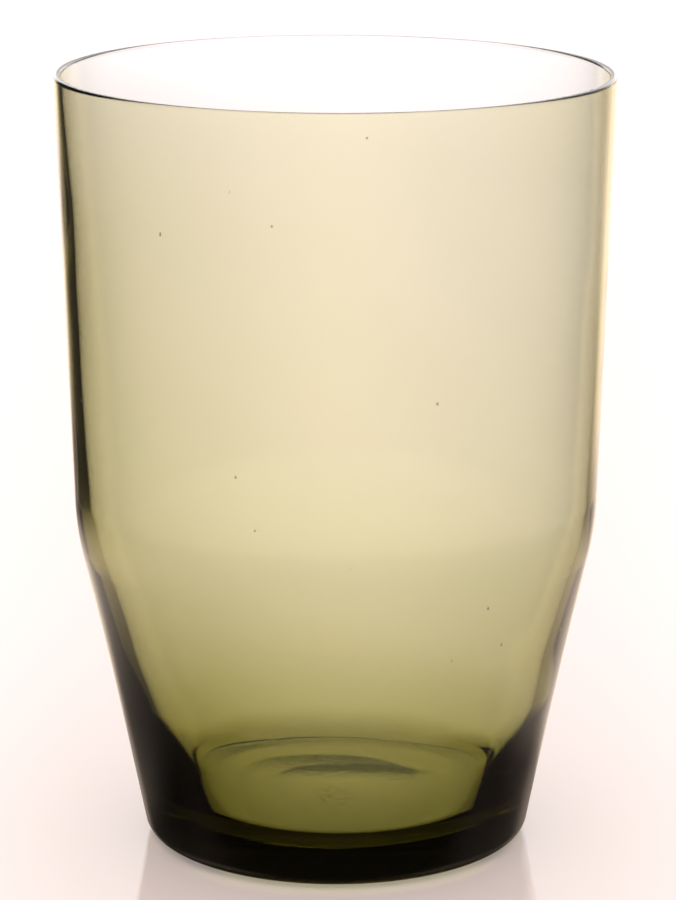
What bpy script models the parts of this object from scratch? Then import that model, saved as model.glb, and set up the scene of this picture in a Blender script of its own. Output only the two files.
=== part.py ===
"""Iced tea glass: a blown tumbler with an upright upper wall, a tapered lower wall and a heavy base.

It stands on the origin with its axis along +Z. Sizes are in metres.
"""

import math

import bpy

# Outside of the glass.
HEIGHT = 0.1200
RIM_DIAMETER = 0.0848
SHOULDER_HEIGHT = 0.0503
SHOULDER_DIAMETER = 0.08056
SHOULDER_RADIUS = 0.045
FOOT_DIAMETER = 0.05908
HEEL_RADIUS = 0.0027
FLANK_HOLLOW = 0.0002

# Wall thickness, measured level, from the rim down to the inside floor.
RIM_WALL = 0.00112
SHOULDER_WALL = 0.00175
WAIST_WALL = 0.0035
FLOOR_WALL = 0.0064

# Inside of the glass. Its shoulder is level with the outer one, and the wall thickens faster below the waist.
WAIST_HEIGHT = 0.021
WAIST_RADIUS = 0.070
FLOOR_HEIGHT = 0.0052
FLOOR_CORNER_RADIUS = 0.008

# Underside: a shallow ground dish, the flat resting ring round it and an edge that rises to the heel.
DISH_DIAMETER = 0.033
DISH_DEPTH = 0.0012
SOLE_EDGE = 0.0046
SOLE_EDGE_RADIUS = 0.027
SOLE_EDGE_ANGLE = math.radians(8)

# Facets.
TURN_STEPS = 72
LIP_FACETS = 4
SHOULDER_FACETS = 4
WAIST_FACETS = 3
FLANK_FACETS = 5
HEEL_FACETS = 6
SOLE_EDGE_FACETS = 2
FLOOR_CORNER_FACETS = 7
DISH_RINGS = 4
MERGE_DISTANCE = 0.00001
SHARP_ANGLE = math.radians(40)


def clear_scene():
    """Remove whatever objects the file starts with."""
    for item in list(bpy.data.objects):
        bpy.data.objects.remove(item, do_unlink=True)


def level_radius(low, high, height):
    """Radius at a height on the straight line through two (radius, height) points."""
    share = (height - low[1]) / (high[1] - low[1])
    return low[0] + share * (high[0] - low[0])


def rounded(before, corner, after, radius, facets):
    """Arc points that round a corner between two straight runs, from the first run to the second."""
    to_before = (before[0] - corner[0], before[1] - corner[1])
    to_after = (after[0] - corner[0], after[1] - corner[1])
    length_before = math.hypot(*to_before)
    length_after = math.hypot(*to_after)
    u = (to_before[0] / length_before, to_before[1] / length_before)
    v = (to_after[0] / length_after, to_after[1] / length_after)
    half = math.acos(max(-1.0, min(1.0, u[0] * v[0] + u[1] * v[1]))) / 2
    bisector = (u[0] + v[0], u[1] + v[1])
    bisector_length = math.hypot(*bisector)
    reach = radius / math.sin(half)
    centre = (
        corner[0] + reach * bisector[0] / bisector_length,
        corner[1] + reach * bisector[1] / bisector_length,
    )
    tangent = radius / math.tan(half)
    first = (corner[0] + tangent * u[0] - centre[0], corner[1] + tangent * u[1] - centre[1])
    last = (corner[0] + tangent * v[0] - centre[0], corner[1] + tangent * v[1] - centre[1])
    start = math.atan2(first[1], first[0])
    sweep = math.atan2(last[1], last[0]) - start
    sweep = (sweep + math.pi) % (2 * math.pi) - math.pi
    angles = [start + sweep * step / facets for step in range(facets + 1)]
    return [(centre[0] + radius * math.cos(a), centre[1] + radius * math.sin(a)) for a in angles]


def sole_corner(foot, shoulder, ring_radius):
    """Where the raised edge of the sole meets the straight lower wall, before that corner is rounded."""
    lean = (shoulder[0] - foot[0]) / (shoulder[1] - foot[1])
    slope = math.tan(SOLE_EDGE_ANGLE)
    rise = (foot[0] - ring_radius) * slope / (1 - slope * lean)
    return foot[0] + lean * rise, foot[1] + rise


def hollow_run(top, bottom, sag, facets):
    """Points strictly between two ends of a run that bows inwards by the sag at its middle."""
    points = []
    for step in range(1, facets):
        share = step / facets
        inward = sag * 4 * share * (1 - share)
        radius = top[0] + share * (bottom[0] - top[0]) - inward
        points.append((radius, top[1] + share * (bottom[1] - top[1])))
    return points


def dish_arc(edge_radius, depth, rings):
    """Points of a shallow spherical dish, from its edge in the resting plane up to its centre."""
    sphere = (edge_radius ** 2 + depth ** 2) / (2 * depth)
    edge_angle = math.asin(edge_radius / sphere)
    points = []
    for ring in range(rings + 1):
        angle = edge_angle * (1 - ring / rings)
        points.append((sphere * math.sin(angle), depth - sphere * (1 - math.cos(angle))))
    return points


def tumbler_profile():
    """Half section as (radius, height): up the inside, over the lip, down the outside and under the base."""
    rim_outer = (RIM_DIAMETER / 2, HEIGHT)
    shoulder_outer = (SHOULDER_DIAMETER / 2, SHOULDER_HEIGHT)
    foot_outer = (FOOT_DIAMETER / 2, 0.0)
    ring_edge = (foot_outer[0] - SOLE_EDGE, 0.0)
    heel_corner = sole_corner(foot_outer, shoulder_outer, ring_edge[0])
    base_centre = (0.0, 0.0)

    rim_inner = (rim_outer[0] - RIM_WALL, HEIGHT)
    shoulder_inner = (shoulder_outer[0] - SHOULDER_WALL, SHOULDER_HEIGHT)
    outer_at_waist = level_radius(foot_outer, shoulder_outer, WAIST_HEIGHT)
    waist_inner = (outer_at_waist - WAIST_WALL, WAIST_HEIGHT)
    outer_at_floor = level_radius(foot_outer, shoulder_outer, FLOOR_HEIGHT)
    floor_corner = (outer_at_floor - FLOOR_WALL, FLOOR_HEIGHT)
    floor_centre = (0.0, FLOOR_HEIGHT)

    lip = RIM_WALL / 2
    inner_shoulder_radius = SHOULDER_RADIUS - SHOULDER_WALL
    inside = [floor_centre]
    inside += rounded(floor_centre, floor_corner, waist_inner, FLOOR_CORNER_RADIUS, FLOOR_CORNER_FACETS)
    inside += rounded(floor_corner, waist_inner, shoulder_inner, WAIST_RADIUS, WAIST_FACETS)
    inside += rounded(waist_inner, shoulder_inner, rim_inner, inner_shoulder_radius, SHOULDER_FACETS)
    inside += rounded(shoulder_inner, rim_inner, rim_outer, lip, LIP_FACETS)

    over_lip = rounded(rim_inner, rim_outer, shoulder_outer, lip, LIP_FACETS)
    shoulder = rounded(rim_outer, shoulder_outer, foot_outer, SHOULDER_RADIUS, SHOULDER_FACETS)
    heel = rounded(shoulder_outer, heel_corner, ring_edge, HEEL_RADIUS, HEEL_FACETS)
    sole_edge = rounded(heel_corner, ring_edge, base_centre, SOLE_EDGE_RADIUS, SOLE_EDGE_FACETS)
    flank = hollow_run(shoulder[-1], heel[0], FLANK_HOLLOW, FLANK_FACETS)
    dish = dish_arc(DISH_DIAMETER / 2, DISH_DEPTH, DISH_RINGS)
    return inside + over_lip + shoulder + flank + heel + sole_edge + dish


def without_repeats(points):
    """Drop a point that falls on the one before it."""
    kept = [points[0]]
    for point in points[1:]:
        if math.dist(point, kept[-1]) > 2 * MERGE_DISTANCE:
            kept.append(point)
    return kept


def glass_material():
    """Clear olive-green glass with a fire-polished surface."""
    material = bpy.data.materials.new("olive_glass")
    material.use_nodes = True
    shader = material.node_tree.nodes["Principled BSDF"]
    shader.inputs["Base Color"].default_value = (0.62, 0.58, 0.36, 1.0)
    shader.inputs["Roughness"].default_value = 0.03
    shader.inputs["Metallic"].default_value = 0.0
    shader.inputs["IOR"].default_value = 1.51
    shader.inputs["Transmission Weight"].default_value = 0.9
    return material


def glass_tumbler(collection, material):
    """The whole vessel, turned from its half section."""
    points = without_repeats(tumbler_profile())
    mesh = bpy.data.meshes.new("glass_tumbler")
    edges = [(index, index + 1) for index in range(len(points) - 1)]
    mesh.from_pydata([(radius, 0.0, height) for radius, height in points], edges, [])
    mesh.update()
    tumbler = bpy.data.objects.new("glass_tumbler", mesh)
    collection.objects.link(tumbler)
    mesh.materials.append(material)

    turn = tumbler.modifiers.new("turned", "SCREW")
    turn.axis = "Z"
    turn.angle = 2 * math.pi
    turn.steps = TURN_STEPS
    turn.render_steps = TURN_STEPS
    turn.use_merge_vertices = True
    turn.merge_threshold = MERGE_DISTANCE
    turn.use_smooth_shade = True

    bpy.context.view_layer.objects.active = tumbler
    tumbler.select_set(True)
    bpy.ops.object.modifier_apply(modifier=turn.name)
    mesh.shade_smooth()
    mesh.set_sharp_from_angle(angle=SHARP_ANGLE)
    return tumbler


def main():
    clear_scene()
    collection = bpy.data.collections.new("iced_tea_glass")
    bpy.context.scene.collection.children.link(collection)
    glass_tumbler(collection, glass_material())


main()
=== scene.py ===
"""Iced tea glass: the looks of an olive-green tumbler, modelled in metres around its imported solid.

The tumbler is one piece of glass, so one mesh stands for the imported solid. Its half section is drawn run
by run and spun about the axis. Then it gets the small faults of the real glass: an inside that sits a
little off centre, a rim that dips to one side, wavy walls, rough hollows under the base and a few seeds of
trapped air.
"""

import logging
import math
from dataclasses import dataclass, field
from enum import Enum
from functools import partial, reduce

import bpy
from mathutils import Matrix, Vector, noise


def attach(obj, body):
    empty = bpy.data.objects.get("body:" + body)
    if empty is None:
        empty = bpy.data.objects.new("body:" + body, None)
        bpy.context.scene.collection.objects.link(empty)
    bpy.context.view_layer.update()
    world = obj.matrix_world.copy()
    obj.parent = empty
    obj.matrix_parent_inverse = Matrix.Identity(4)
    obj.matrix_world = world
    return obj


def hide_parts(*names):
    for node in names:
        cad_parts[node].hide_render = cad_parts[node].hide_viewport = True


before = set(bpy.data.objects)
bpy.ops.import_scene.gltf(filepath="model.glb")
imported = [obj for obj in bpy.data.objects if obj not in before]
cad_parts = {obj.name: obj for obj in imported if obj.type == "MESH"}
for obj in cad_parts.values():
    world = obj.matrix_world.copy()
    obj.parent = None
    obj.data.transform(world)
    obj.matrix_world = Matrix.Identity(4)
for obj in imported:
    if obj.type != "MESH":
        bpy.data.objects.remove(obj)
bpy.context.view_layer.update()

MM = 0.001
PHOTO_WIDTH = 676
PHOTO_HEIGHT = 900
UP = (0.0, 0.0, 1.0)
SECTION_AXIS = (0.0, 1.0, 0.0)
MERGE_DISTANCE = 0.001 * MM
LIGHT_BOUNCES = 32
GOLDEN_TURN = 137.5
GOLDEN_SHARE = 0.618

# Bounces are whole numbers, so this much above a count lies between it and the next one.
BETWEEN_COUNTS = 0.5

Point = tuple[float, float]
Triple = tuple[float, float, float]
Colour = Triple
Socket = bpy.types.NodeSocket

log = logging.getLogger("iced_tea_glass")


class Ray(Enum):
    """Kinds of ray that the backdrop tells apart, by the name of their light path output."""

    CAMERA = "Is Camera Ray"
    DIFFUSE = "Is Diffuse Ray"
    GLOSSY = "Is Glossy Ray"
    THROUGH_GLASS = "Is Transmission Ray"
    REFLECTIONS = "Glossy Depth"
    REFRACTIONS = "Transmission Depth"


class Surface(Enum):
    """The two skins of the glass wall."""

    OUTSIDE = "outside"
    INSIDE = "inside"


def deselect_all() -> None:
    """Leave edit mode and clear the selection."""
    if bpy.context.mode != "OBJECT":
        bpy.ops.object.mode_set(mode="OBJECT")
    bpy.ops.object.select_all(action="DESELECT")


def smooth_step(value: float, low: float, high: float) -> float:
    """Ease from 0 at the low end to 1 at the high end.

    Args:
        value: Where to read the curve.
        low: Value at and below which the result is 0.
        high: Value at and above which the result is 1.

    Returns:
        The eased share.
    """
    share = min(1.0, max(0.0, (value - low) / (high - low)))
    return share * share * (3.0 - 2.0 * share)


def along(points: list[Point], height: float) -> float:
    """Read the radius of a broken line at a height.

    Args:
        points: Corners as (radius, height), from low to high.
        height: Height to read at.

    Returns:
        The radius, held at the end values beyond the ends.
    """
    if height <= points[0][1]:
        return points[0][0]
    for low, high in zip(points, points[1:]):
        if height <= high[1]:
            share = (height - low[1]) / (high[1] - low[1])
            return low[0] + share * (high[0] - low[0])
    return points[-1][0]


class ShaderBench:
    """Places and links the nodes of one shader tree."""

    def __init__(self, tree: bpy.types.NodeTree) -> None:
        """Take a tree to work on and clear it."""
        self.tree = tree
        self.tree.nodes.clear()

    def node(self, kind: str, **settings: object) -> bpy.types.Node:
        """Add a node.

        Args:
            kind: Blender's name for the node type.
            **settings: Properties of the node to set.

        Returns:
            The new node.
        """
        made = self.tree.nodes.new(kind)
        for name, value in settings.items():
            setattr(made, name, value)
        return made

    def feed(self, target: Socket, value: Socket | float | tuple[float, ...]) -> None:
        """Link a socket to the target, or set the target to a plain value.

        Args:
            target: Input to set.
            value: Output to link, or the plain value.
        """
        if isinstance(value, bpy.types.NodeSocket):
            self.tree.links.new(value, target)
        else:
            target.default_value = value

    def math(self, operation: str, first: Socket | float, second: Socket | float = 0.0) -> Socket:
        """Combine two numbers.

        Args:
            operation: Name of the math operation.
            first: First number.
            second: Second number, left out by operations on one number.

        Returns:
            The socket with the result.
        """
        made = self.node("ShaderNodeMath", operation=operation)
        self.feed(made.inputs[0], first)
        self.feed(made.inputs[1], second)
        return made.outputs[0]

    def product(self, *values: Socket | float) -> Socket:
        """Multiply two or more numbers."""
        return reduce(partial(self.math, "MULTIPLY"), values)

    def total(self, *values: Socket | float) -> Socket:
        """Add two or more numbers."""
        return reduce(partial(self.math, "ADD"), values)

    def rest_of(self, share: Socket) -> Socket:
        """What is left of 1 after a share."""
        return self.math("SUBTRACT", 1.0, share)

    def blend(self, share: Socket, first: Socket | float, second: Socket | float) -> Socket:
        """Mix two numbers, with all of the second at a share of 1."""
        return self.total(self.product(self.rest_of(share), first), self.product(share, second))

    def more_than(self, bounces: Socket, count: int) -> Socket:
        """1 for a ray that has bounced more often than the count."""
        return self.math("GREATER_THAN", bounces, count + BETWEEN_COUNTS)

    def at_most(self, bounces: Socket, count: int) -> Socket:
        """1 for a ray that has bounced no more often than the count."""
        return self.math("LESS_THAN", bounces, count + BETWEEN_COUNTS)

    def ease(self, value: Socket, low: float, high: float, start: float = 0.0, end: float = 1.0) -> Socket:
        """Ease a number from one level to another.

        Args:
            value: Number to read.
            low: Number at which the result is the start level.
            high: Number at which the result is the end level.
            start: Level below the low end.
            end: Level above the high end.

        Returns:
            The socket with the eased level.
        """
        made = self.node("ShaderNodeMapRange", interpolation_type="SMOOTHSTEP")
        self.feed(made.inputs["Value"], value)
        made.inputs["From Min"].default_value = low
        made.inputs["From Max"].default_value = high
        made.inputs["To Min"].default_value = start
        made.inputs["To Max"].default_value = end
        return made.outputs["Result"]

    def speckle(self, place: Socket, size: float, detail: float = 2.0) -> Socket:
        """Soft noise.

        Args:
            place: Where to read it.
            size: Rough size of its patches in metres.
            detail: Number of finer layers in it.

        Returns:
            The socket with the noise, around a half.
        """
        made = self.node("ShaderNodeTexNoise")
        self.feed(made.inputs["Vector"], place)
        made.inputs["Scale"].default_value = 1.0 / size
        made.inputs["Detail"].default_value = detail
        return made.outputs["Fac"]

    def place(self) -> tuple[Socket, Socket, Socket, Socket]:
        """Read the place on the object.

        Returns:
            Sockets with the place itself, then x, y and z.
        """
        coordinates = self.node("ShaderNodeTexCoord").outputs["Object"]
        parts = self.node("ShaderNodeSeparateXYZ")
        self.feed(parts.inputs["Vector"], coordinates)
        return coordinates, parts.outputs["X"], parts.outputs["Y"], parts.outputs["Z"]

    def distance(self, x: Socket, y: Socket, centre: Point = (0.0, 0.0)) -> Socket:
        """Level distance from an upright axis.

        Args:
            x: Place to the right.
            y: Place to the back.
            centre: Where the axis stands.

        Returns:
            The socket with the distance.
        """
        across = self.math("SUBTRACT", x, centre[0])
        back = self.math("SUBTRACT", y, centre[1])
        squares = self.total(self.product(across, across), self.product(back, back))
        return self.math("SQRT", squares)


@dataclass(frozen=True)
class OliveGlass:
    """Olive-green glass, tinted through its thickness, polished on its walls and ground under its base.

    Attributes:
        name: Name of the material.
        index: Refractive index.
        tint_per_mm: Absorption of red, green and blue light in each millimetre.
        polish: Roughness of the fire-polished skin.
        smear: Extra roughness of faint finger smears.
        smear_size, smear_detail: Size of the smears, and the finer layers in them.
        smear_noise: Noise levels between which a smear sets in.
        wear: Extra roughness where the ring that rubs on tables is most rubbed.
        least_wear: Extra roughness where it is least rubbed.
        wear_size, wear_detail: Size of the rubbed patches, and the finer layers in them.
        wear_noise: Noise levels between which the rubbing grows.
        ring_radius, ring_height: Where the rubbed ring begins, and how high it reaches.
        ripple_size, ripple_detail: Size of the slow ripples in the skin, and the finer layers in them.
        ripple_height: Height of the ripples.
        grind_pitch, grind_height: Width and height of the grinding marks under the base.
        grind_stretch: Squeeze of the noise that draws the marks, which lengthens them from side to side.
        grind_radius, under_high: Radius and height within which the glass is ground.
        grind_edge, under_edge: Shares of these at which the marks begin to fade.
        grain_height: Height of the same marks on the inside floor.
        scratch: Extra roughness in the scratches of the inside floor.
        scratch_centre, scratch_reach: Middle and radius of the scratched spot.
        scratch_core: Share of that radius within which the scratches are at full strength.
        scratch_shift, scratch_scale: Shift and scale of the pattern that draws them.
        scratch_bend: How much they wander.
        scratch_bend_detail, scratch_bend_scale: Finer layers and scale of the wandering.
        scratch_crest: Levels of the pattern between which a scratch sets in.
        scratch_height: Depth of the scratches.
        floor_low, floor_high: Heights between which the inside floor lies.
        mask_blur: Width of the edges of the masks.
    """

    name: str = "olive_glass"
    index: float = 1.51
    tint_per_mm: Colour = (0.110, 0.113, 0.245)
    polish: float = 0.0
    smear: float = 0.006
    smear_size: float = 14 * MM
    smear_detail: float = 4.0
    smear_noise: Point = (0.5, 0.75)
    wear: float = 0.25
    least_wear: float = 0.2
    wear_size: float = 0.6 * MM
    wear_detail: float = 3.0
    wear_noise: Point = (0.35, 0.65)
    ring_radius: float = 25 * MM
    ring_height: float = 0.15 * MM
    ripple_size: float = 16 * MM
    ripple_detail: float = 1.0
    ripple_height: float = 0.02 * MM
    grind_pitch: float = 0.5 * MM
    grind_stretch: Triple = (0.25, 1.0, 1.0)
    grind_height: float = 0.03 * MM
    grind_radius: float = 18 * MM
    grind_edge: float = 0.9
    grain_height: float = 0.002 * MM
    under_high: float = 2.0 * MM
    under_edge: float = 0.8
    scratch: float = 0.25
    scratch_centre: Point = (-0.5 * MM, -8.2 * MM)
    scratch_shift: Point = (2.8 * MM, 2.4 * MM)
    scratch_scale: float = 150.0
    scratch_bend: float = 12.0
    scratch_bend_detail: float = 1.0
    scratch_bend_scale: float = 2.5
    scratch_crest: Point = (0.86, 0.98)
    scratch_reach: float = 4.5 * MM
    scratch_core: float = 0.4
    scratch_height: float = 0.10 * MM
    floor_low: float = 4.0 * MM
    floor_high: float = 7.0 * MM
    mask_blur: float = MM

    def material(self) -> bpy.types.Material:
        """Build the glass.

        Returns:
            The material, with its tint as an absorbing volume.
        """
        made = bpy.data.materials.new(self.name)
        made.use_nodes = True
        bench = ShaderBench(made.node_tree)
        output = bench.node("ShaderNodeOutputMaterial")
        glass = bench.node("ShaderNodeBsdfPrincipled")
        glass.inputs["Base Color"].default_value = (1.0, 1.0, 1.0, 1.0)
        glass.inputs["IOR"].default_value = self.index
        glass.inputs["Transmission Weight"].default_value = 1.0

        strongest = max(self.tint_per_mm)
        tint = bench.node("ShaderNodeVolumeAbsorption")
        tint.inputs["Color"].default_value = (*(1.0 - share / strongest for share in self.tint_per_mm), 1.0)
        tint.inputs["Density"].default_value = strongest / MM

        scratches = self._scratches(bench)
        bench.feed(glass.inputs["Roughness"], self._roughness(bench, scratches))
        bench.feed(glass.inputs["Normal"], self._relief(bench, scratches))
        bench.feed(output.inputs["Surface"], glass.outputs["BSDF"])
        bench.feed(output.inputs["Volume"], tint.outputs["Volume"])
        return made

    def _scratches(self, bench: ShaderBench) -> Socket:
        """Fine curved scratches on the inside floor.

        Args:
            bench: Tree to build in.

        Returns:
            A mask that is 1 in a scratch.
        """
        place, x, y, z = bench.place()
        shifted = bench.node("ShaderNodeMapping")
        bench.feed(shifted.inputs["Vector"], place)
        shifted.inputs["Location"].default_value = (*self.scratch_shift, 0.0)
        lines = bench.node("ShaderNodeTexWave", bands_direction="DIAGONAL")
        bench.feed(lines.inputs["Vector"], shifted.outputs["Vector"])
        lines.inputs["Scale"].default_value = self.scratch_scale
        lines.inputs["Distortion"].default_value = self.scratch_bend
        lines.inputs["Detail"].default_value = self.scratch_bend_detail
        lines.inputs["Detail Scale"].default_value = self.scratch_bend_scale
        thin = bench.ease(lines.outputs["Fac"], *self.scratch_crest)
        spot = bench.distance(x, y, self.scratch_centre)
        near = bench.ease(spot, self.scratch_core * self.scratch_reach, self.scratch_reach, 1.0, 0.0)
        return bench.product(thin, near, self._on_floor(bench, z))

    def _on_floor(self, bench: ShaderBench, z: Socket) -> Socket:
        """Mask that is 1 at the height of the inside floor."""
        rise = bench.ease(z, self.floor_low, self.floor_low + self.mask_blur)
        return bench.product(rise, bench.ease(z, self.floor_high - self.mask_blur, self.floor_high, 1.0, 0.0))

    def _roughness(self, bench: ShaderBench, scratches: Socket) -> Socket:
        """Roughness from polish, smears, the worn ring and the scratches.

        Args:
            bench: Tree to build in.
            scratches: Mask of the scratches.

        Returns:
            The socket with the roughness.
        """
        place, x, y, z = bench.place()
        patches = bench.speckle(place, self.smear_size, self.smear_detail)
        smears = bench.ease(patches, *self.smear_noise, 0.0, self.smear)
        beyond = bench.ease(bench.distance(x, y), self.ring_radius - self.mask_blur,
                            self.ring_radius + self.mask_blur)
        ring = bench.product(bench.ease(z, 0.0, self.ring_height, 1.0, 0.0), beyond)
        grit = bench.speckle(place, self.wear_size, self.wear_detail)
        rubbed = bench.product(ring, bench.ease(grit, *self.wear_noise, self.least_wear, self.wear))
        return bench.total(smears, rubbed, bench.product(scratches, self.scratch), self.polish)

    def _relief(self, bench: ShaderBench, scratches: Socket) -> Socket:
        """Surface relief: slow ripples, grinding marks in the dish and the scratches.

        Args:
            bench: Tree to build in.
            scratches: Mask of the scratches.

        Returns:
            The socket with the bumped normal.
        """
        place, x, y, z = bench.place()
        swell = bench.speckle(place, self.ripple_size, self.ripple_detail)
        ripples = bench.product(swell, self.ripple_height)
        low = bench.ease(z, self.under_edge * self.under_high, self.under_high, 1.0, 0.0)
        radius = bench.distance(x, y)
        ground = bench.ease(radius, self.grind_edge * self.grind_radius, self.grind_radius, 1.0, 0.0)
        under = bench.product(low, ground)
        stretched = bench.node("ShaderNodeMapping")
        bench.feed(stretched.inputs["Vector"], place)
        stretched.inputs["Scale"].default_value = self.grind_stretch
        marks = bench.speckle(stretched.outputs["Vector"], self.grind_pitch)
        depth = bench.total(bench.product(under, self.grind_height),
                            bench.product(self._on_floor(bench, z), self.grain_height))
        cuts = bench.product(scratches, -self.scratch_height)
        relief = bench.node("ShaderNodeBump")
        relief.inputs["Strength"].default_value = 1.0
        relief.inputs["Distance"].default_value = 1.0
        bench.feed(relief.inputs["Height"], bench.total(ripples, bench.product(depth, marks), cuts))
        return relief.outputs["Normal"]


@dataclass(frozen=True)
class Corner:
    """A corner of the half section and the arc that rounds it.

    Attributes:
        radius: Distance from the axis.
        height: Height above the table.
        rounding: Radius of the arc.
        facets: Number of straight pieces in the arc.
    """

    radius: float
    height: float
    rounding: float
    facets: int

    @property
    def point(self) -> Point:
        """The sharp corner."""
        return self.radius, self.height


@dataclass(frozen=True)
class Arc:
    """A round stretch of the half section.

    Attributes:
        start: Where it begins.
        end: Where it ends.
        centre: Its centre.
        turn: Signed angle from start to end, counter-clockwise with the axis on the left.
        facets: Number of straight pieces.
    """

    start: Point
    end: Point
    centre: Point
    turn: float
    facets: int

    @classmethod
    def rounding(cls, before: Point, corner: Corner, after: Point) -> "Arc":
        """Fit the arc of a corner between the two runs that meet there.

        Args:
            before: A point on the run that arrives.
            corner: The corner.
            after: A point on the run that leaves.

        Returns:
            The arc, tangent to both runs.
        """
        at = Vector(corner.point)
        back = (Vector(before) - at).normalized()
        onward = (Vector(after) - at).normalized()
        half = back.angle(onward) / 2.0
        centre = at + (back + onward).normalized() * (corner.rounding / math.sin(half))
        reach = corner.rounding / math.tan(half)
        start = at + back * reach
        end = at + onward * reach
        first = start - centre
        last = end - centre
        turn = math.atan2(first.x * last.y - first.y * last.x, first.dot(last))
        return cls(tuple(start), tuple(end), tuple(centre), turn, corner.facets)


class SectionPen:
    """Draws a half section in the XZ plane in edit mode and spins it into a piece.

    Attributes:
        guard_length: Length of the short step at each end of a run.
    """

    guard_length: float = 0.02 * MM

    def __init__(self, name: str, start: Point) -> None:
        """Begin a drawing at one point.

        Args:
            name: Name of the piece.
            start: First point of the section, on the axis.
        """
        deselect_all()
        bpy.ops.mesh.primitive_plane_add(size=MM)
        self.piece = bpy.context.object
        self.piece.name = name
        self.piece.data.name = name
        bpy.ops.object.mode_set(mode="EDIT")
        bpy.ops.mesh.select_all(action="SELECT")
        bpy.ops.mesh.merge(type="CENTER")
        bpy.ops.transform.translate(value=(start[0], 0.0, start[1]))
        self.tip = start

    def run_to(self, point: Point, steps: int = 1, bow: float = 0.0) -> None:
        """Extrude a run to a point, with a short step at each end so that smooth shading keeps to the arcs.

        Args:
            point: End of the run.
            steps: Number of equal steps.
            bow: How far the middle of the run stands in towards the axis.
        """
        start = self.tip
        guard = self.guard_length / math.dist(start, point)
        shares = [guard] + [step / steps for step in range(1, steps)] + [1.0 - guard, 1.0]
        for share in shares:
            radius = start[0] + share * (point[0] - start[0]) - bow * 4.0 * share * (1.0 - share)
            height = start[1] + share * (point[1] - start[1])
            move = (radius - self.tip[0], 0.0, height - self.tip[1])
            bpy.ops.mesh.extrude_vertices_move(TRANSFORM_OT_translate={"value": move})
            self.tip = (radius, height)

    def round(self, arc: Arc) -> None:
        """Spin the tip along an arc that starts at it.

        Args:
            arc: The arc to follow.
        """
        centre = (arc.centre[0], 0.0, arc.centre[1])
        bpy.ops.mesh.spin(steps=arc.facets, angle=arc.turn, center=centre, axis=SECTION_AXIS)
        self.tip = arc.end

    def turn(self, steps: int) -> bpy.types.Object:
        """Spin the whole section about the upright axis.

        Args:
            steps: Number of steps in the full turn.

        Returns:
            The piece, with its faces outwards. A section that ends further from the axis than the merge
            distance leaves a pinhole there.
        """
        bpy.ops.mesh.select_all(action="SELECT")
        bpy.ops.mesh.spin(steps=steps, angle=2.0 * math.pi, center=(0.0, 0.0, 0.0), axis=UP)
        bpy.ops.mesh.select_all(action="SELECT")
        bpy.ops.mesh.remove_doubles(threshold=MERGE_DISTANCE)
        bpy.ops.mesh.normals_make_consistent(inside=False)
        bpy.ops.object.mode_set(mode="OBJECT")
        return self.piece


@dataclass(frozen=True)
class Hollow:
    """An oval hollow ground into the underside.

    Attributes:
        centre: Its place from the axis, to the right and to the back.
        half_width: Reach of its edge to either side.
        half_length: Reach of its edge to the front and the back.
        depth: Depth at its middle.
    """

    centre: Point
    half_width: float
    half_length: float
    depth: float

    def height_at(self, x: float, y: float) -> float:
        """How far the hollow lifts the underside.

        Args:
            x: Place to the right of the axis.
            y: Place to the back of it.

        Returns:
            The lift, which is 0 outside the hollow.
        """
        across = (x - self.centre[0]) / self.half_width
        back = (y - self.centre[1]) / self.half_length
        return self.depth * max(0.0, 1.0 - across * across - back * back)


@dataclass(frozen=True)
class Seed:
    """A small bubble of air caught in the wall.

    Attributes:
        bearing: Direction from the axis in degrees, from +X towards +Y.
        height: Height above the table.
        radius: Radius across.
        stretch: Length along the wall over the width.
    """

    bearing: float
    height: float
    radius: float
    stretch: float


@dataclass(frozen=True)
class StraySeeds:
    """Seeds spread round the whole glass, in a few sizes and lengths.

    Attributes:
        count: How many there are.
        first_bearing: Direction of the first one, in degrees.
        low: Lowest height, as a share of the glass.
        span: Share of the glass that they spread over.
        radius: Radius of the smallest.
        sizes: Number of sizes.
        growth: Growth from one size to the next, as a share of the smallest.
        lengths: Number of lengths.
        stretch: Growth from one length to the next.
    """

    count: int = 14
    first_bearing: float = 63.0
    low: float = 0.12
    span: float = 0.78
    radius: float = 0.10 * MM
    sizes: int = 3
    growth: float = 0.5
    lengths: int = 4
    stretch: float = 0.25

    def spread(self, height: float) -> list[Seed]:
        """Lay out the seeds.

        Args:
            height: Height of the glass.

        Returns:
            Every seed.
        """
        seeds = []
        for index in range(self.count):
            share = self.low + self.span * (index * GOLDEN_SHARE % 1.0)
            radius = self.radius * (1.0 + self.growth * (index % self.sizes))
            stretch = 1.0 + self.stretch * (index % self.lengths)
            seeds.append(Seed(self.first_bearing + GOLDEN_TURN * index, share * height, radius, stretch))
        return seeds


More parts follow.
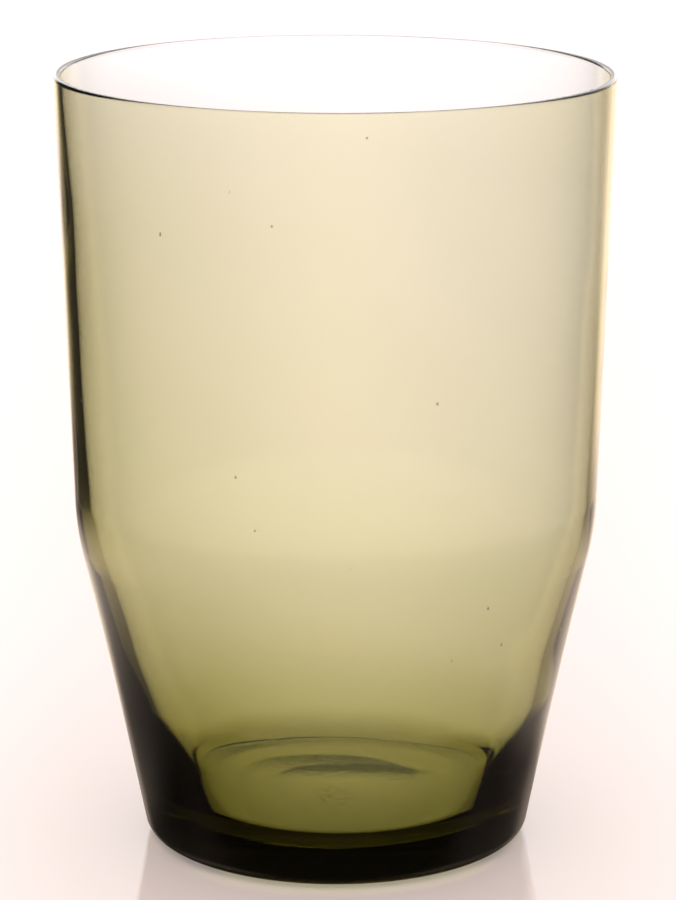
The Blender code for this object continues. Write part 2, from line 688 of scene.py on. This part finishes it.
@dataclass
class Tumbler:
    """The glass itself: thin upright wall, soft shoulder, tapered lower wall and heavy base.

    Attributes:
        finish: The glass that it is made of.
        node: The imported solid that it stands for.
        body: The body that it rides on.
        height, rim_radius: Height of the rim, and its outside radius.
        shoulder_height, shoulder_radius: Height at which the walls meet, and the outside radius there.
        shoulder_rounding: Radius of the arc that rounds the outside there.
        foot_radius: Outside radius at which the lower wall would meet the table.
        heel_rounding: Radius of the heel.
        sole_edge, sole_angle: Width of the raised edge of the sole, and its angle in radians.
        sole_rounding: Radius of the arc from the resting ring to that edge.
        flank_bow: How far the lower wall stands in at its middle.
        rim_wall, shoulder_wall: Thickness of the wall at the rim and at the shoulder.
        waist_height, waist_wall: Height below which the inside closes in faster, and the thickness there.
        waist_rounding: Radius of the arc that rounds the inside there.
        floor_height: Height of the inside floor.
        floor_wall: Thickness of the wall at that height, before its corner is rounded.
        floor_rounding: Radius of that corner.
        ground_radius: Radius within which the underside can be ground.
        turn_steps: Steps in a full turn.
        wall_steps, flank_steps: Steps in the upper and the lower wall.
        floor_steps, ground_steps, ring_steps: Steps across the floor, the ground part and the resting ring.
        slight_facets: Facets of an arc with little turn, and of each half of the lip.
        corner_facets, bend_facets: Facets of the heel and the floor's corner, and of the shoulder.
        inner_share: Share of the floor's height above which a surface can be the inside.
        inside_shift, shift_fade: How far the inside sits to the right, and at what depth below the rim.
        base_shift: Further shift at the floor.
        base_shift_start, base_shift_fade: Height below which it sets in, and over what depth.
        rim_dip, rim_dip_reach: How far the rim dips on the right, and how deep that reaches.
        wave_height, wave_size: Height and length of the waves in the walls.
        grind_height, grind_size: Height and size of the unevenness in the ground hollows.
        grind_squeeze: How much shorter it is from front to back than from side to side.
        grind_fade: Lift at which a hollow is fully uneven.
        flat_height: Height below which a point lies in the resting plane.
        smooth_angle: Largest angle between faces that are shaded as one, in radians.
        hollows: The ground hollows.
        seeds, strays: The seeds that the photograph shows, and the others.
        seed_segments, seed_rings: Facets round a seed, and from end to end.
        skins: Sharp corners of both skins, from low to high, set when the glass is built.
    """

    finish: OliveGlass
    node: str = "glass_tumbler"
    body: str = "root"
    height: float = 120.0 * MM
    rim_radius: float = 42.4 * MM
    shoulder_height: float = 50.3 * MM
    shoulder_radius: float = 40.28 * MM
    shoulder_rounding: float = 45.0 * MM
    foot_radius: float = 29.54 * MM
    heel_rounding: float = 2.7 * MM
    sole_edge: float = 4.6 * MM
    sole_angle: float = math.radians(8.0)
    sole_rounding: float = 27.0 * MM
    flank_bow: float = 0.2 * MM
    rim_wall: float = 1.12 * MM
    shoulder_wall: float = 1.75 * MM
    waist_height: float = 21.0 * MM
    waist_wall: float = 3.5 * MM
    waist_rounding: float = 70.0 * MM
    floor_height: float = 5.2 * MM
    floor_wall: float = 6.4 * MM
    floor_rounding: float = 8.0 * MM
    ground_radius: float = 18.0 * MM
    turn_steps: int = 256
    wall_steps: int = 28
    flank_steps: int = 22
    floor_steps: int = 20
    ground_steps: int = 28
    ring_steps: int = 8
    slight_facets: int = 8
    corner_facets: int = 14
    bend_facets: int = 16
    inner_share: float = 0.6
    inside_shift: float = 0.3 * MM
    shift_fade: float = 30.0 * MM
    base_shift: float = 0.4 * MM
    base_shift_start: float = 33.0 * MM
    base_shift_fade: float = 18.0 * MM
    rim_dip: float = 0.3 * MM
    rim_dip_reach: float = 25.0 * MM
    wave_height: float = 0.05 * MM
    wave_size: float = 17.0 * MM
    grind_height: float = 0.05 * MM
    grind_size: float = 1.6 * MM
    grind_squeeze: float = 2.0
    grind_fade: float = 0.2 * MM
    flat_height: float = 0.01 * MM
    smooth_angle: float = math.radians(40.0)
    hollows: tuple[Hollow, ...] = (
        Hollow((-2.0 * MM, 0.0), 15.5 * MM, 15.5 * MM, 0.78 * MM),
        Hollow((3.0 * MM, 0.0), 14.2 * MM, 9.3 * MM, 0.50 * MM),
    )
    seeds: tuple[Seed, ...] = (
        Seed(257.5, 103.6 * MM, 0.14 * MM, 1.5),
        Seed(291.0, 77.3 * MM, 0.17 * MM, 1.3),
        Seed(249.0, 66.4 * MM, 0.15 * MM, 1.6),
    )
    seed_segments: int = 12
    seed_rings: int = 8
    strays: StraySeeds = StraySeeds()
    skins: dict[Surface, list[Point]] = field(default_factory=dict)

    def build(self) -> bpy.types.Object:
        """Model the glass and attach it to its body.

        Returns:
            The finished piece.
        """
        self.skins = {Surface.OUTSIDE: self._outside_line(), Surface.INSIDE: self._inside_line()}
        piece = self._turn_section()
        self._unsettle_walls(piece)
        self._grind_underside(piece)
        self._trap_seeds(piece)
        self._dress(piece)
        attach(piece, self.body)
        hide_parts(self.node)
        return piece

    def _outside_line(self) -> list[Point]:
        """Sharp corners of the outside, from the table up."""
        return [
            (self.foot_radius, 0.0),
            (self.shoulder_radius, self.shoulder_height),
            (self.rim_radius, self.height),
        ]

    def _inside_line(self) -> list[Point]:
        """Sharp corners of the inside, from the floor up."""
        outside = self._outside_line()
        return [
            (along(outside, self.floor_height) - self.floor_wall, self.floor_height),
            (along(outside, self.waist_height) - self.waist_wall, self.waist_height),
            (self.shoulder_radius - self.shoulder_wall, self.shoulder_height),
            (self.rim_radius - self.rim_wall, self.height),
        ]

    def _heel_corner(self) -> Point:
        """Find the corner at which the raised edge of the sole would meet the lower wall.

        Returns:
            The corner.
        """
        lean = (self.shoulder_radius - self.foot_radius) / self.shoulder_height
        slope = math.tan(self.sole_angle)
        rise = self.sole_edge * slope / (1.0 - slope * lean)
        return self.foot_radius + lean * rise, rise

    def _turn_section(self) -> bpy.types.Object:
        """Draw the half section and spin it.

        Returns:
            The plain turned glass.
        """
        foot, shoulder, rim = self.skins[Surface.OUTSIDE]
        floor, waist, inner_shoulder, inner_rim = self.skins[Surface.INSIDE]
        lip = 0.5 * self.rim_wall
        inner_rounding = self.shoulder_rounding - self.shoulder_wall
        ring_edge = Corner(self.foot_radius - self.sole_edge, 0.0, self.sole_rounding,
                           self.slight_facets)
        heel_corner = Corner(*self._heel_corner(), self.heel_rounding, self.corner_facets)
        sole = Arc.rounding((0.0, 0.0), ring_edge, heel_corner.point)
        heel = Arc.rounding(ring_edge.point, heel_corner, shoulder)
        bend_corner = Corner(*shoulder, self.shoulder_rounding, self.bend_facets)
        bend = Arc.rounding(foot, bend_corner, rim)
        lip_out = Arc.rounding(shoulder, Corner(*rim, lip, self.slight_facets), inner_rim)
        lip_in = Arc.rounding(rim, Corner(*inner_rim, lip, self.slight_facets), inner_shoulder)
        inner_bend_corner = Corner(*inner_shoulder, inner_rounding, self.bend_facets)
        inner_bend = Arc.rounding(inner_rim, inner_bend_corner, waist)
        waist_corner = Corner(*waist, self.waist_rounding, self.slight_facets)
        inner_waist = Arc.rounding(inner_shoulder, waist_corner, floor)
        floor_corner = Corner(*floor, self.floor_rounding, self.corner_facets)
        inner_corner = Arc.rounding(waist, floor_corner, (0.0, self.floor_height))

        pen = SectionPen(self.node + "_glass", (0.0, 0.0))
        pen.run_to((self.ground_radius, 0.0), self.ground_steps)
        pen.run_to(sole.start, self.ring_steps)
        pen.round(sole)
        pen.run_to(heel.start)
        pen.round(heel)
        pen.run_to(bend.start, self.flank_steps, self.flank_bow)
        pen.round(bend)
        pen.run_to(lip_out.start, self.wall_steps)
        pen.round(lip_out)
        pen.round(lip_in)
        pen.run_to(inner_bend.start, self.wall_steps)
        pen.round(inner_bend)
        pen.run_to(inner_waist.start, self.flank_steps // 2)
        pen.round(inner_waist)
        pen.run_to(inner_corner.start, self.flank_steps // 3)
        pen.round(inner_corner)
        pen.run_to((0.0, self.floor_height), self.floor_steps)
        return pen.turn(self.turn_steps)

    def _is_inside(self, radius: float, height: float) -> bool:
        """Tell whether a point of the surface belongs to the inner skin."""
        return height > self.inner_share * self.floor_height and radius < self._middle(height)

    def _middle(self, height: float) -> float:
        """Radius halfway through the wall at a height."""
        return (along(self.skins[Surface.OUTSIDE], height) + along(self.skins[Surface.INSIDE], height)) / 2.0

    def _unsettle_walls(self, piece: bpy.types.Object) -> None:
        """Set the inside off centre, dip the rim to the right and wave the walls a little.

        Args:
            piece: The turned glass.
        """
        for vertex in piece.data.vertices:
            x, y, z = vertex.co
            radius = math.hypot(x, y)
            if radius > 0.0 and z > self.heel_rounding:
                wave = self.wave_height * noise.noise(vertex.co / self.wave_size)
                inside = self._is_inside(radius, z)
                swell = wave if inside else -abs(wave) / 2.0
                swell *= smooth_step(radius, 0.0, self.ground_radius)
                vertex.co.x += x / radius * swell
                vertex.co.y += y / radius * swell
                if inside:
                    vertex.co.x += self.inside_shift * smooth_step(self.height - z, 0.0, self.shift_fade)
                    depth = self.base_shift_start - z
                    vertex.co.x += self.base_shift * smooth_step(depth, 0.0, self.base_shift_fade)
            near_rim = smooth_step(z, self.height - self.rim_dip_reach, self.height)
            vertex.co.z -= self.rim_dip * near_rim * (0.5 + 0.5 * x / self.rim_radius)

    def _grind_underside(self, piece: bpy.types.Object) -> None:
        """Lift the underside into the ground hollows, with the unevenness of grinding.

        Args:
            piece: The turned glass.
        """
        for vertex in piece.data.vertices:
            x, y, z = vertex.co
            if z > self.flat_height or math.hypot(x, y) > self.ground_radius:
                continue
            lift = sum(hollow.height_at(x, y) for hollow in self.hollows)
            place = Vector((x, self.grind_squeeze * y, 0.0)) / self.grind_size
            rough = self.grind_height * noise.noise(place)
            vertex.co.z = lift + abs(rough) * smooth_step(lift, 0.0, self.grind_fade)

    def _trap_seeds(self, piece: bpy.types.Object) -> None:
        """Put the seeds into the wall as shells that face their own air.

        Args:
            piece: The turned glass.
        """
        bubbles = []
        for seed in (*self.seeds, *self.strays.spread(self.height)):
            middle = self._middle(seed.height)
            angle = math.radians(seed.bearing)
            place = (middle * math.cos(angle), middle * math.sin(angle), seed.height)
            deselect_all()
            bpy.ops.mesh.primitive_uv_sphere_add(segments=self.seed_segments, ring_count=self.seed_rings,
                                                 radius=seed.radius, location=place)
            bubbles.append(bpy.context.object)
            bpy.ops.object.mode_set(mode="EDIT")
            bpy.ops.mesh.select_all(action="SELECT")
            bpy.ops.transform.resize(value=(1.0, 1.0, seed.stretch), center_override=place)
            bpy.ops.mesh.flip_normals()
            bpy.ops.object.mode_set(mode="OBJECT")
        deselect_all()
        for bubble in bubbles:
            bubble.select_set(True)
        piece.select_set(True)
        bpy.context.view_layer.objects.active = piece
        bpy.ops.object.join()

    def _dress(self, piece: bpy.types.Object) -> None:
        """Smooth the piece and give it its finish.

        Args:
            piece: The finished mesh.
        """
        bpy.ops.object.shade_smooth_by_angle(angle=self.smooth_angle)
        piece.data.materials.clear()
        piece.data.materials.append(self.finish.material())


@dataclass(frozen=True)
class Falloff:
    """A level that eases with distance from the axis of the glass.

    Attributes:
        near: Distance at which it leaves the near level.
        far: Distance at which it reaches the far level.
        near_level: Level close to the glass.
        far_level: Level away from the glass.
    """

    near: float
    far: float
    near_level: float
    far_level: float

    def at(self, bench: ShaderBench, distance: Socket) -> Socket:
        """The level at a distance."""
        return bench.ease(distance, self.near, self.far, self.near_level, self.far_level)


@dataclass(frozen=True)
class Sector:
    """A share of the studio by bearing from the glass, in degrees, with 0 straight behind it.

    Bearings to the right are positive.

    Attributes:
        start: Bearing at which it begins.
        end: Bearing at which it ends.
        start_blur: Half width of its first edge.
        end_blur: Half width of its second edge.
    """

    start: float
    end: float
    start_blur: float
    end_blur: float

    def weight(self, bench: ShaderBench, bearing: Socket) -> Socket:
        """How much a bearing in radians belongs to the sector.

        Args:
            bench: Tree to build in.
            bearing: Bearing to judge.

        Returns:
            The socket with the share.
        """
        low, high = (math.radians(self.start + side * self.start_blur) for side in (-1.0, 1.0))
        rise = bench.ease(bearing, low, high)
        low, high = (math.radians(self.end + side * self.end_blur) for side in (-1.0, 1.0))
        return bench.product(rise, bench.ease(bearing, low, high, 1.0, 0.0))


@dataclass(frozen=True)
class PaintedShadeSide:
    """Painted shade on one side of the table, and a dimmer sky beyond it, as the glass mirrors them.

    Attributes:
        close_sector: Bearings that it shades near the glass.
        close: How much it shades the table there, by distance.
        away_sector: Bearings that it shades away from the glass.
        away: How much it shades the table there, by distance.
        sky: How much it shades what lies beyond the table.
    """

    close_sector: Sector
    close: Falloff
    away_sector: Sector
    away: Falloff
    sky: float

    def light_left(self, bench: ShaderBench, bearing: Socket, distance: Socket) -> Socket:
        """Share of the painted light that it leaves on the table.

        Args:
            bench: Tree to build in.
            bearing: Bearing on the table.
            distance: Distance from the axis of the glass.

        Returns:
            The socket with the share.
        """
        close = bench.product(self.close_sector.weight(bench, bearing), self.close.at(bench, distance))
        away = bench.product(self.away_sector.weight(bench, bearing), self.away.at(bench, distance))
        return bench.product(bench.rest_of(close), bench.rest_of(away))

    def sky_left(self, bench: ShaderBench, bearing: Socket) -> Socket:
        """Share of the light that it leaves beyond the table at a bearing."""
        return bench.rest_of(bench.product(self.away_sector.weight(bench, bearing), self.sky))


@dataclass(frozen=True)
class Studio:
    """White table that glows with painted light for rays from the glass, as a lit backdrop, with painted
    shade on the left and a dim side on the right.

    Levels by distance are measured from the axis of the glass, and bearings as in a sector, in degrees.

    Attributes:
        backdrop, backdrop_level: Colour and strength of the lit backdrop through the glass, painted on the
            table as light.
        one_wall_backdrop: Its colour through a single wall, where the photograph is over-exposed.
        far_level, behind_shade: How much stronger the painted light is far away, and how much dimmer it is
            close behind, as painted shade.
        shade_colour: Colour of the painted shade on the table under the glass.
        under_shade_share: Share of the backdrop's colour, which the painted shade under the glass takes away.
        under_shade: Level of the painted shade on the table under the glass.
        shade_front, shade_back: Places from front to back between which its darkest part ends.
        shade_front_level: Level in the darkest part.
        mirror_colour: Colour of the table as the glass mirrors it, painted as light, and of its lacquer then.
        under_open: Share of the room's light painted on the table, as the glass mirrors it.
        under_glow: Painted light on the table under the glass, standing for light that comes through the
            glass, as the glass mirrors it.
        front_shade: Painted shade on the table in front of the glass.
        front_start, front_full: Bearings between which the front begins, on either side.
        front_sky: How much darker the sky in front is where the glass shows it by way of the table.
        left_painted_shade, right_dim: Painted shade on the table at the left and at the right, which also
            dims the sky there.
        high_start, high_full: Slopes of the sky between which the dark left side and the dim side end.
        sky_colour, sky_level: Colour of the sky, and its strength as the glass mirrors it.
        lip_levels: Its strength in a first mirroring on a skin, straight behind and to the sides.
        lip_start, lip_full: Bearings between which one turns into the other.
        fill_level: Strength of the sky as it lights the table.
        table_radius, table_vertices: Radius and number of corners of the table top.
        table_gap: Gap that keeps it clear of the glass.
        table_colour: Colour of the table top.
        table_index, table_gloss: Refractive index and roughness of its lacquer.
        table_coat: Weight of its top coat.
        table_white, table_lift: White that lifts it as the camera sees it, and the share of that.
        lacquer_share, lacquer_gloss: Strength and roughness of the lacquer as the glass mirrors it.
    """

    # The table glows with painted light for rays from the glass, standing for a lit backdrop.
    backdrop: Colour = (1.0, 0.885, 0.92)
    one_wall_backdrop: Colour = (1.0, 0.92, 1.08)
    backdrop_level: float = 1.22
    far_level: Falloff = Falloff(0.60, 0.95, 1.0, 1.2)
    # Painted shade on the table close behind the glass.
    behind_shade: Falloff = Falloff(0.110, 0.170, 0.86, 1.0)
    # Painted shade on the table under the glass, in its own colour and darker towards the front.
    shade_colour: Colour = (1.0, 0.87, 0.6)
    under_shade_share: Falloff = Falloff(0.024, 0.045, 0.0, 1.0)
    under_shade: Falloff = Falloff(0.024, 0.045, 0.55, 1.0)
    shade_front: float = -18.0 * MM
    shade_back: float = 8.0 * MM
    shade_front_level: float = 0.54
    # Painted light on the table for rays that the glass mirrors.
    mirror_colour: Colour = (1.0, 0.82, 0.66)
    under_open: Falloff = Falloff(0.029, 0.042, 0.0, 1.0)
    under_glow: Falloff = Falloff(0.029, 0.042, 0.03, 0.0)
    # Painted shade on the table in front of the glass.
    front_shade: Falloff = Falloff(0.048, 0.085, 0.98, 0.0)
    front_start: float = 80.0
    front_full: float = 110.0
    front_sky: float = 0.97
    # Painted shade on the table at the left and the right, which also dims the sky there.
    left_painted_shade: PaintedShadeSide = PaintedShadeSide(Sector(-150.0, -40.0, 30.0, 15.0), Falloff(0.060, 0.130, 0.88, 0.40),
                           Sector(-110.0, -24.0, 45.0, 5.0), Falloff(0.120, 0.210, 0.0, 0.97), 0.97)
    right_dim: PaintedShadeSide = PaintedShadeSide(Sector(54.0, 150.0, 14.0, 30.0), Falloff(0.048, 0.068, 0.92, 0.40),
                           Sector(34.0, 110.0, 8.0, 45.0), Falloff(0.100, 0.200, 0.35, 0.82), 0.75)
    high_start: float = 0.60
    high_full: float = 0.80
    sky_colour: Colour = (1.0, 0.95, 0.94)
    sky_level: float = 1.5
    lip_levels: Point = (1.2, 2.4)
    lip_start: float = 3.0
    lip_full: float = 13.0
    fill_level: float = 1.0
    table_radius: float = 6.0
    table_gap: float = 0.05 * MM
    table_vertices: int = 96
    table_colour: Colour = (1.0, 0.82, 0.77)
    table_index: float = 2.0
    table_gloss: float = 0.03
    table_coat: float = 0.3
    table_white: Colour = (1.0, 0.985, 0.985)
    table_lift: float = 0.15
    lacquer_share: float = 0.22
    lacquer_gloss: float = 0.25

    def build(self) -> bpy.types.Object:
        """Make the table and the world.

        Returns:
            The table top.
        """
        deselect_all()
        place = (0.0, 0.0, -self.table_gap)
        bpy.ops.mesh.primitive_circle_add(vertices=self.table_vertices, radius=self.table_radius,
                                          fill_type="NGON", location=place)
        table = bpy.context.object
        table.name = "table_top"
        bpy.ops.object.transform_apply(location=True, rotation=True, scale=True)
        table.data.materials.append(self._table_finish())
        self._light_world()
        return table

    def _table_finish(self) -> bpy.types.Material:
        """Lacquered white table that glows for rays that have passed through the glass.

        Returns:
            The material.
        """
        made = bpy.data.materials.new("white_table")
        made.use_nodes = True
        bench = ShaderBench(made.node_tree)
        rays = bench.node("ShaderNodeLightPath").outputs
        output = bench.node("ShaderNodeOutputMaterial")

        top = bench.node("ShaderNodeBsdfPrincipled")
        top.inputs["Base Color"].default_value = (*self.table_colour, 1.0)
        top.inputs["IOR"].default_value = self.table_index
        top.inputs["Roughness"].default_value = self.table_gloss
        top.inputs["Coat Weight"].default_value = self.table_coat
        top.inputs["Coat Roughness"].default_value = self.table_gloss
        white = bench.node("ShaderNodeEmission")
        white.inputs["Color"].default_value = (*self.table_white, 1.0)
        seen = bench.node("ShaderNodeMixShader")
        bench.feed(seen.inputs["Fac"], bench.product(rays[Ray.CAMERA.value], self.table_lift))
        bench.feed(seen.inputs[1], top.outputs["BSDF"])
        bench.feed(seen.inputs[2], white.outputs["Emission"])

        # For rays from the glass the table shows painted light and shade instead of its own shading.
        shown = bench.node("ShaderNodeMixShader")
        plain = bench.math("MINIMUM", bench.total(rays[Ray.CAMERA.value], rays[Ray.DIFFUSE.value]), 1.0)
        bench.feed(shown.inputs["Fac"], bench.rest_of(plain))
        bench.feed(shown.inputs[1], seen.outputs["Shader"])
        bench.feed(shown.inputs[2], self._glow(bench, rays))

        skin = bench.product(bench.more_than(rays[Ray.REFLECTIONS.value], 0),
                             bench.at_most(rays[Ray.REFRACTIONS.value], 0), bench.rest_of(plain))
        lacquer = bench.node("ShaderNodeBsdfGlossy")
        mirrored = (share * self.lacquer_share for share in self.mirror_colour)
        lacquer.inputs["Color"].default_value = (*mirrored, 1.0)
        lacquer.inputs["Roughness"].default_value = self.lacquer_gloss
        sheen = bench.node("ShaderNodeMixShader")
        bench.feed(sheen.inputs["Fac"], skin)
        bench.feed(sheen.inputs[2], lacquer.outputs["BSDF"])
        final = bench.node("ShaderNodeAddShader")
        bench.feed(final.inputs[0], shown.outputs["Shader"])
        bench.feed(final.inputs[1], sheen.outputs["Shader"])
        bench.feed(output.inputs["Surface"], final.outputs["Shader"])
        return made

    def _glow(self, bench: ShaderBench, rays: bpy.types.bpy_prop_collection) -> Socket:
        """Painted light and shade on the table as the glass shows it, straight through and by reflection.

        Args:
            bench: Tree to build in.
            rays: Outputs of the light path.

        Returns:
            The socket with the emission.
        """
        _, x, y, _ = bench.place()
        distance = bench.distance(x, y)
        bearing = bench.math("ARCTAN2", x, y)
        facing = bench.math("ABSOLUTE", bearing)
        in_front = bench.ease(facing, math.radians(self.front_start), math.radians(self.front_full))
        # Painted shade in front of the glass and at the sides, as the glass mirrors the table.
        front = bench.product(in_front, self.front_shade.at(bench, distance))
        window = bench.product(self.left_painted_shade.light_left(bench, bearing, distance),
                               self.right_dim.light_left(bench, bearing, distance), bench.rest_of(front))

        # Painted light on the table for mirrored rays, with painted light under the glass.
        mirrored = bench.total(bench.product(self.under_open.at(bench, distance), window),
                               self.under_glow.at(bench, distance))
        # Painted shade under and close behind the glass for rays straight through.
        under = self.under_shade_share.at(bench, distance)
        front_level = bench.ease(y, self.shade_front, self.shade_back, self.shade_front_level, 1.0)
        straight = bench.product(self.under_shade.at(bench, distance), self.behind_shade.at(bench, distance),
                                 self.far_level.at(bench, distance), bench.blend(under, front_level, 1.0))
        is_mirrored = bench.more_than(rays[Ray.REFLECTIONS.value], 0)
        level = bench.product(bench.blend(is_mirrored, straight, mirrored), self.backdrop_level)
        one_wall = bench.at_most(rays[Ray.REFRACTIONS.value], 2)

        tint = bench.node("ShaderNodeMix", data_type="RGBA")
        bench.feed(tint.inputs["Factor"], is_mirrored)
        backdrop = self._tint(bench, one_wall, self.backdrop, self.one_wall_backdrop)
        bench.feed(tint.inputs["A"], self._tint(bench, under, self.shade_colour, backdrop))
        tint.inputs["B"].default_value = (*self.mirror_colour, 1.0)
        glow = bench.node("ShaderNodeEmission")
        bench.feed(glow.inputs["Color"], tint.outputs["Result"])
        bench.feed(glow.inputs["Strength"], level)
        return glow.outputs["Emission"]

    def _tint(self, bench: ShaderBench, share: Socket, first: Colour, second: Socket | Colour) -> Socket:
        """Mix two colours.

        Args:
            bench: Tree to build in.
            share: Share of the second.
            first: Colour at a share of 0.
            second: Colour at a share of 1.

        Returns:
            The socket with the mix.
        """
        tint = bench.node("ShaderNodeMix", data_type="RGBA")
        bench.feed(tint.inputs["Factor"], share)
        tint.inputs["A"].default_value = (*first, 1.0)
        bench.feed(tint.inputs["B"], second if isinstance(second, bpy.types.NodeSocket) else (*second, 1.0))
        return tint.outputs["Result"]

    def _light_world(self) -> None:
        """Light the studio evenly, with a darker left side and a dim right side in what the glass mirrors."""
        world = bpy.data.worlds.new("studio")
        world.use_nodes = True
        bpy.context.scene.world = world
        bench = ShaderBench(world.node_tree)
        rays = bench.node("ShaderNodeLightPath").outputs
        direction = bench.node("ShaderNodeTexCoord").outputs["Generated"]
        parts = bench.node("ShaderNodeSeparateXYZ")
        bench.feed(parts.inputs["Vector"], direction)
        bearing = bench.math("ARCTAN2", parts.outputs["X"], parts.outputs["Y"])
        window = bench.product(self.left_painted_shade.sky_left(bench, bearing),
                               self.right_dim.sky_left(bench, bearing))
        high = bench.ease(parts.outputs["Z"], self.high_start, self.high_full)
        window = bench.blend(high, window, 1.0)

        is_mirrored = bench.more_than(rays[Ray.REFLECTIONS.value], 0)
        on_skin = bench.at_most(rays[Ray.REFRACTIONS.value], 0)
        straight_off = bench.product(rays[Ray.GLOSSY.value], bench.at_most(rays[Ray.REFLECTIONS.value], 1))
        by_table = bench.product(is_mirrored, bench.rest_of(straight_off), on_skin)
        facing = bench.math("ABSOLUTE", bearing)
        in_front = bench.ease(facing, math.radians(self.front_start), math.radians(self.front_full))
        window = bench.product(window, bench.rest_of(bench.product(in_front, by_table, self.front_sky)))
        lip_level = bench.ease(facing, math.radians(self.lip_start), math.radians(self.lip_full),
                               *self.lip_levels)
        sky_level = bench.blend(bench.product(straight_off, on_skin), self.sky_level, lip_level)
        mirrored = bench.product(window, sky_level)
        through = bench.blend(is_mirrored, self.backdrop_level, mirrored)
        level = bench.blend(rays[Ray.THROUGH_GLASS.value], mirrored, through)
        level = bench.blend(rays[Ray.CAMERA.value], level, 1.0)
        level = bench.blend(rays[Ray.DIFFUSE.value], level, self.fill_level)

        light = bench.node("ShaderNodeBackground")
        light.inputs["Color"].default_value = (*self.sky_colour, 1.0)
        bench.feed(light.inputs["Strength"], level)
        output = bench.node("ShaderNodeOutputWorld")
        bench.feed(output.inputs["Surface"], light.outputs["Background"])


@dataclass(frozen=True)
class PhotoCamera:
    """Camera with the photograph's place, tilt and frame.

    Attributes:
        distance: Level distance from the axis of the glass.
        height: Height above the table.
        tilt: Angle at which it looks down, in radians.
        roll: Turn about its own line of sight, in radians.
        focal_pixels: Focal length in pixels of the photograph.
        axis_pixel: Column of the photograph that the camera's own axis falls on.
        sensor_height: Height of the sensor in millimetres.
        nearest: Distance from which the camera sees.
    """

    distance: float = 0.5421
    height: float = 0.1960
    tilt: float = 0.244
    roll: float = 0.0012
    focal_pixels: float = 3616.13
    axis_pixel: float = 334.77
    sensor_height: float = 36.0
    nearest: float = 0.01

    def build(self) -> bpy.types.Object:
        """Place the camera and make it the scene's own.

        Returns:
            The camera.
        """
        deselect_all()
        turn = (math.pi / 2.0 - self.tilt, self.roll, 0.0)
        bpy.ops.object.camera_add(location=(0.0, -self.distance, self.height), rotation=turn)
        camera = bpy.context.object
        camera.name = "photo_camera"
        lens = camera.data
        lens.sensor_fit = "VERTICAL"
        lens.sensor_height = self.sensor_height
        lens.lens = self.focal_pixels / PHOTO_HEIGHT * self.sensor_height
        lens.shift_x = (PHOTO_WIDTH / 2.0 - self.axis_pixel) / PHOTO_HEIGHT
        lens.clip_start = self.nearest
        bpy.context.scene.camera = camera
        return camera


def set_view() -> None:
    """Show colours as written and let light pass through every wall of the glass."""
    scene = bpy.context.scene
    scene.view_settings.view_transform = "Standard"
    scene.cycles.max_bounces = LIGHT_BOUNCES
    scene.cycles.transmission_bounces = LIGHT_BOUNCES
    scene.cycles.glossy_bounces = LIGHT_BOUNCES


def main() -> None:
    """Build the glass, the studio and the camera in order."""
    logging.basicConfig(level=logging.INFO, format="%(message)s")
    glass = Tumbler(finish=OliveGlass()).build()
    log.info("%s: %d faces", glass.name, len(glass.data.polygons))
    table = Studio().build()
    log.info("%s: stage", table.name)
    camera = PhotoCamera().build()
    log.info("%s: lens %.1f mm", camera.name, camera.data.lens)
    set_view()


if __name__ == "__main__":
    main()
